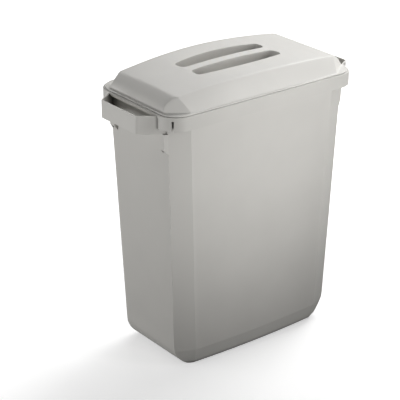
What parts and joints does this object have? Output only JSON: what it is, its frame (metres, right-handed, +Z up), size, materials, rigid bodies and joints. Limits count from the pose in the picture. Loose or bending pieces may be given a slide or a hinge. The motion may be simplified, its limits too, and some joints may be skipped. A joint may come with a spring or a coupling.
{
  "type": "waste bin with lift-off lid",
  "caption": "Slim rectangular plastic waste bin, tapered with flat corner facets, a grip handle at each end and a loose domed lid with a recessed grip bar.",
  "frame": {"origin": "on the floor, under the middle of the foot", "axes": "+X along the bin's long side, +Y across its width, +Z up"},
  "size_m": [0.59, 0.282, 0.6675],
  "materials": {
    "bin_plastic": "fine satin, injection-moulded, warm light grey",
    "lid_plastic": "fine satin, injection-moulded, warm light grey"
  },
  "bodies": {
    "bin": {"bin_tub": "bin_plastic", "bin_rim": "bin_plastic", "grip_handle_left": "bin_plastic", "grip_handle_right": "bin_plastic", "stacking_lug_left_front": "bin_plastic", "stacking_lug_left_back": "bin_plastic", "stacking_lug_right_front": "bin_plastic", "stacking_lug_right_back": "bin_plastic"},
    "lid": {"lid_cover": "lid_plastic", "lid_finger_pocket_front": "lid_plastic", "lid_finger_pocket_back": "lid_plastic", "lid_grip_bar": "lid_plastic", "lid_locating_ribs": "lid_plastic"}
  },
  "joints": [
    {"name": "lid_lift", "type": "slide", "parent": "bin", "child": "lid", "axis": [0, 0, 1], "range_m": [0, 0.15]}
  ]
}
